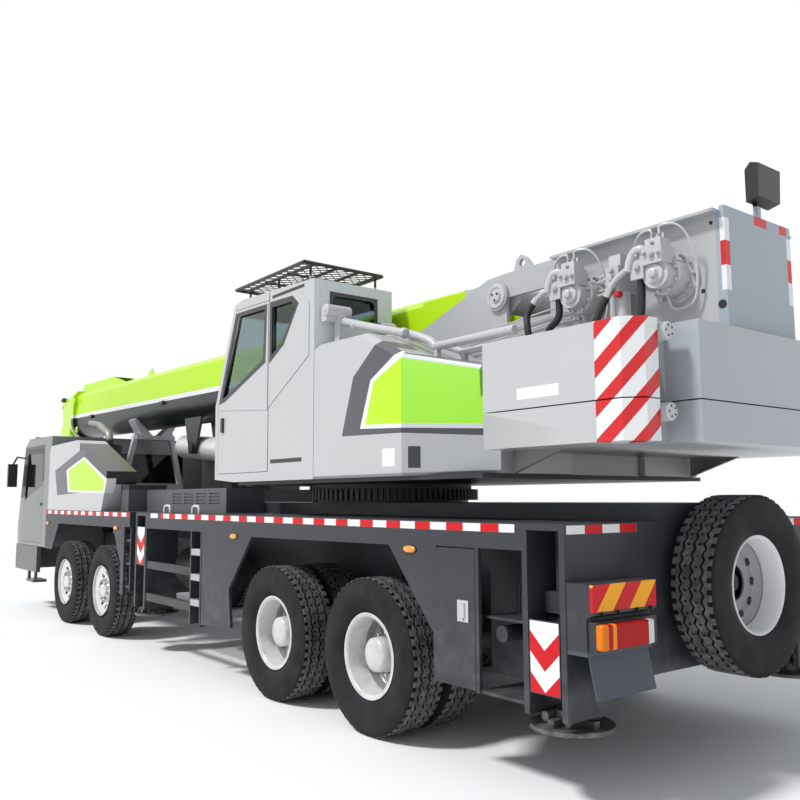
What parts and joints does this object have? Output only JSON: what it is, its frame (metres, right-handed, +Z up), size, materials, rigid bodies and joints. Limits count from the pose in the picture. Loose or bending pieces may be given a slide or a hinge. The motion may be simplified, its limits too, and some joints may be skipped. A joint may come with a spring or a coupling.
{
  "type": "four-axle telescopic truck crane",
  "caption": "Four-axle truck crane with two cabs, slewing superstructure, telescopic boom, counterweight and four outriggers, posed for the road.",
  "frame": {"origin": "on the ground, under the middle of the crane's overall box", "axes": "+X forward, toward the carrier's cab and the boom's head; +Y to the driver's left; +Z up"},
  "size_m": [13.8106, 3.06, 3.72],
  "materials": {
    "chassis_grey": "satin",
    "light_grey": "gloss",
    "lime": "gloss",
    "tyre": "matte",
    "black_paint": "satin",
    "steel": "brushed",
    "engine_iron": "matte",
    "chrome_rod": "polished",
    "rubber_hose": "matte",
    "glass_dark": "polished"
  },
  "bodies": {
    "carrier": {"bay_hoses": "rubber_hose", "boom_rest": "light_grey", "carrier_cab": "light_grey", "carrier_cab_glass": "glass_dark", "carrier_deck": "chassis_grey", "chassis_frame": "chassis_grey", "deck_boxes": "steel", "engine_block": "engine_iron", "exhaust": "black_paint", "front_axles": "chassis_grey", "front_bumper": "light_grey", "front_fenders": "chassis_grey", "outrigger_housings": "chassis_grey", "rear_axles": "chassis_grey", "rear_lamps": "chassis_grey", "side_cowls": "light_grey", "side_ladders": "black_paint", "slewing_ring": "black_paint", "spare_wheel": "tyre"},
    "knuckle_1_left": {"knuckle_1_left": "chassis_grey"},
    "front_wheel_1_left": {"front_wheel_1_left": "tyre"},
    "knuckle_1_right": {"knuckle_1_right": "chassis_grey"},
    "front_wheel_1_right": {"front_wheel_1_right": "tyre"},
    "knuckle_2_left": {"knuckle_2_left": "chassis_grey"},
    "front_wheel_2_left": {"front_wheel_2_left": "tyre"},
    "knuckle_2_right": {"knuckle_2_right": "chassis_grey"},
    "front_wheel_2_right": {"front_wheel_2_right": "tyre"},
    "twin_wheel_3_left": {"twin_wheel_3_left": "tyre"},
    "twin_wheel_3_right": {"twin_wheel_3_right": "tyre"},
    "twin_wheel_4_left": {"twin_wheel_4_left": "tyre"},
    "twin_wheel_4_right": {"twin_wheel_4_right": "tyre"},
    "outrigger_beam_front_left": {"outrigger_beam_front_left": "chassis_grey"},
    "jack_foot_front_left": {"jack_foot_front_left": "chassis_grey"},
    "outrigger_beam_front_right": {"outrigger_beam_front_right": "chassis_grey"},
    "jack_foot_front_right": {"jack_foot_front_right": "chassis_grey"},
    "outrigger_beam_rear_left": {"outrigger_beam_rear_left": "chassis_grey"},
    "jack_foot_rear_left": {"jack_foot_rear_left": "chassis_grey"},
    "outrigger_beam_rear_right": {"outrigger_beam_rear_right": "chassis_grey"},
    "jack_foot_rear_right": {"jack_foot_rear_right": "chassis_grey"},
    "cab_door_left": {"cab_door_left": "light_grey"},
    "tool_door_left": {"tool_door_left": "chassis_grey"},
    "cab_door_right": {"cab_door_right": "light_grey"},
    "tool_door_right": {"tool_door_right": "chassis_grey"},
    "operator_door": {"operator_door": "light_grey"},
    "superstructure": {"turntable": "black_paint", "side_frames": "light_grey", "operator_cab": "light_grey", "operator_cab_glass": "glass_dark", "machinery_covers": "light_grey", "counterweight": "light_grey", "winches": "steel", "winch_hoses": "rubber_hose"},
    "boom_base": {"boom_base": "lime"},
    "luffing_barrel": {"luffing_barrel": "light_grey"},
    "luffing_rod": {"luffing_rod": "chrome_rod"},
    "boom_section_2": {"boom_section_2": "lime"},
    "boom_section_3": {"boom_section_3": "lime"},
    "boom_section_4": {"boom_section_4": "lime"}
  },
  "joints": [
    {"name": "steer_1_left", "type": "hinge", "parent": "carrier", "child": "knuckle_1_left", "pos_m": [2.51468, 1.01, 0.5425], "axis": [0, 0, 1], "range_deg": [-32, 32]},
    {"name": "roll_1_left", "type": "hinge", "parent": "knuckle_1_left", "child": "front_wheel_1_left", "pos_m": [2.51468, 1.22, 0.5425], "axis": [0, 1, 0], "continuous": true},
    {"name": "steer_1_right", "type": "hinge", "parent": "carrier", "child": "knuckle_1_right", "pos_m": [2.51468, -1.01, 0.5425], "axis": [0, 0, 1], "range_deg": [-32, 32]},
    {"name": "roll_1_right", "type": "hinge", "parent": "knuckle_1_right", "child": "front_wheel_1_right", "pos_m": [2.51468, -1.22, 0.5425], "axis": [0, 1, 0], "continuous": true},
    {"name": "steer_2_left", "type": "hinge", "parent": "carrier", "child": "knuckle_2_left", "pos_m": [1.04468, 1.01, 0.5425], "axis": [0, 0, 1], "range_deg": [-24, 24]},
    {"name": "roll_2_left", "type": "hinge", "parent": "knuckle_2_left", "child": "front_wheel_2_left", "pos_m": [1.04468, 1.22, 0.5425], "axis": [0, 1, 0], "continuous": true},
    {"name": "steer_2_right", "type": "hinge", "parent": "carrier", "child": "knuckle_2_right", "pos_m": [1.04468, -1.01, 0.5425], "axis": [0, 0, 1], "range_deg": [-24, 24]},
    {"name": "roll_2_right", "type": "hinge", "parent": "knuckle_2_right", "child": "front_wheel_2_right", "pos_m": [1.04468, -1.22, 0.5425], "axis": [0, 1, 0], "continuous": true},
    {"name": "roll_3_left", "type": "hinge", "parent": "carrier", "child": "twin_wheel_3_left", "pos_m": [-3.15532, 1.22, 0.5425], "axis": [0, 1, 0], "continuous": true},
    {"name": "roll_3_right", "type": "hinge", "parent": "carrier", "child": "twin_wheel_3_right", "pos_m": [-3.15532, -1.22, 0.5425], "axis": [0, 1, 0], "continuous": true},
    {"name": "roll_4_left", "type": "hinge", "parent": "carrier", "child": "twin_wheel_4_left", "pos_m": [-4.50532, 1.22, 0.5425], "axis": [0, 1, 0], "continuous": true},
    {"name": "roll_4_right", "type": "hinge", "parent": "carrier", "child": "twin_wheel_4_right", "pos_m": [-4.50532, -1.22, 0.5425], "axis": [0, 1, 0], "continuous": true},
    {"name": "beam_front_left", "type": "slide", "parent": "carrier", "child": "outrigger_beam_front_left", "axis": [0, 1, 0], "range_m": [0, 1.65]},
    {"name": "jack_front_left", "type": "slide", "parent": "outrigger_beam_front_left", "child": "jack_foot_front_left", "axis": [0, 0, -1], "range_m": [0, 0.55]},
    {"name": "beam_front_right", "type": "slide", "parent": "carrier", "child": "outrigger_beam_front_right", "axis": [0, -1, 0], "range_m": [0, 1.65]},
    {"name": "jack_front_right", "type": "slide", "parent": "outrigger_beam_front_right", "child": "jack_foot_front_right", "axis": [0, 0, -1], "range_m": [0, 0.55]},
    {"name": "beam_rear_left", "type": "slide", "parent": "carrier", "child": "outrigger_beam_rear_left", "axis": [0, 1, 0], "range_m": [0, 1.65]},
    {"name": "jack_rear_left", "type": "slide", "parent": "outrigger_beam_rear_left", "child": "jack_foot_rear_left", "axis": [0, 0, -1], "range_m": [0, 0.55]},
    {"name": "beam_rear_right", "type": "slide", "parent": "carrier", "child": "outrigger_beam_rear_right", "axis": [0, -1, 0], "range_m": [0, 1.65]},
    {"name": "jack_rear_right", "type": "slide", "parent": "outrigger_beam_rear_right", "child": "jack_foot_rear_right", "axis": [0, 0, -1], "range_m": [0, 0.55]},
    {"name": "cab_door_left_hinge", "type": "hinge", "parent": "carrier", "child": "cab_door_left", "pos_m": [4.99483, 1.34, 1.6], "axis": [0, 0, -1], "range_deg": [0, 70]},
    {"name": "tool_door_left_hinge", "type": "hinge", "parent": "carrier", "child": "tool_door_left", "pos_m": [-5.31047, 1.385, 0.9], "axis": [0, 0, -1], "range_deg": [0, 100]},
    {"name": "cab_door_right_hinge", "type": "hinge", "parent": "carrier", "child": "cab_door_right", "pos_m": [4.99483, -1.34, 1.6], "axis": [0, 0, 1], "range_deg": [0, 70]},
    {"name": "tool_door_right_hinge", "type": "hinge", "parent": "carrier", "child": "tool_door_right", "pos_m": [-5.31047, -1.385, 0.9], "axis": [0, 0, 1], "range_deg": [0, 100]},
    {"name": "operator_door_hinge", "type": "hinge", "parent": "superstructure", "child": "operator_door", "pos_m": [-2.85047, 1.25, 2.6], "axis": [0, 0, 1], "range_deg": [0, 75]},
    {"name": "slew", "type": "hinge", "parent": "carrier", "child": "superstructure", "pos_m": [-3.00532, 0, 1.765], "axis": [0, 0, 1], "continuous": true},
    {"name": "luff", "type": "hinge", "parent": "superstructure", "child": "boom_base", "pos_m": [-4.90532, 0, 3.18], "axis": [0, -1, 0], "range_deg": [0, 78]},
    {"name": "rod_swing", "type": "hinge", "parent": "superstructure", "child": "luffing_rod", "pos_m": [-2.95532, 0, 1.99], "axis": [0, -1, 0], "range_deg": [0, 92]},
    {"name": "barrel_reach", "type": "slide", "parent": "luffing_rod", "child": "luffing_barrel", "axis": [0.9966, 0, 0.082], "range_m": [0, 2.838]},
    {"name": "extend_2", "type": "slide", "parent": "boom_base", "child": "boom_section_2", "axis": [0.9999, 0, 0.0157], "range_m": [0, 7.6]},
    {"name": "extend_3", "type": "slide", "parent": "boom_section_2", "child": "boom_section_3", "axis": [0.9999, 0, 0.0157], "range_m": [0, 7.6]},
    {"name": "extend_4", "type": "slide", "parent": "boom_section_3", "child": "boom_section_4", "axis": [0.9999, 0, 0.0157], "range_m": [0, 7.6]}
  ],
  "couplings": [
    {"joint": "steer_1_right", "follows": "steer_1_left", "ratio": 1},
    {"joint": "steer_2_left", "follows": "steer_1_left", "ratio": 0.75},
    {"joint": "steer_2_right", "follows": "steer_1_left", "ratio": 0.75},
    {"joint": "rod_swing", "follows": "luff", "ratio": 1.0789},
    {"joint": "barrel_reach", "follows": "luff", "m_per_rad": 2.0702},
    {"joint": "extend_3", "follows": "extend_2", "ratio": 1},
    {"joint": "extend_4", "follows": "extend_2", "ratio": 1}
  ]
}
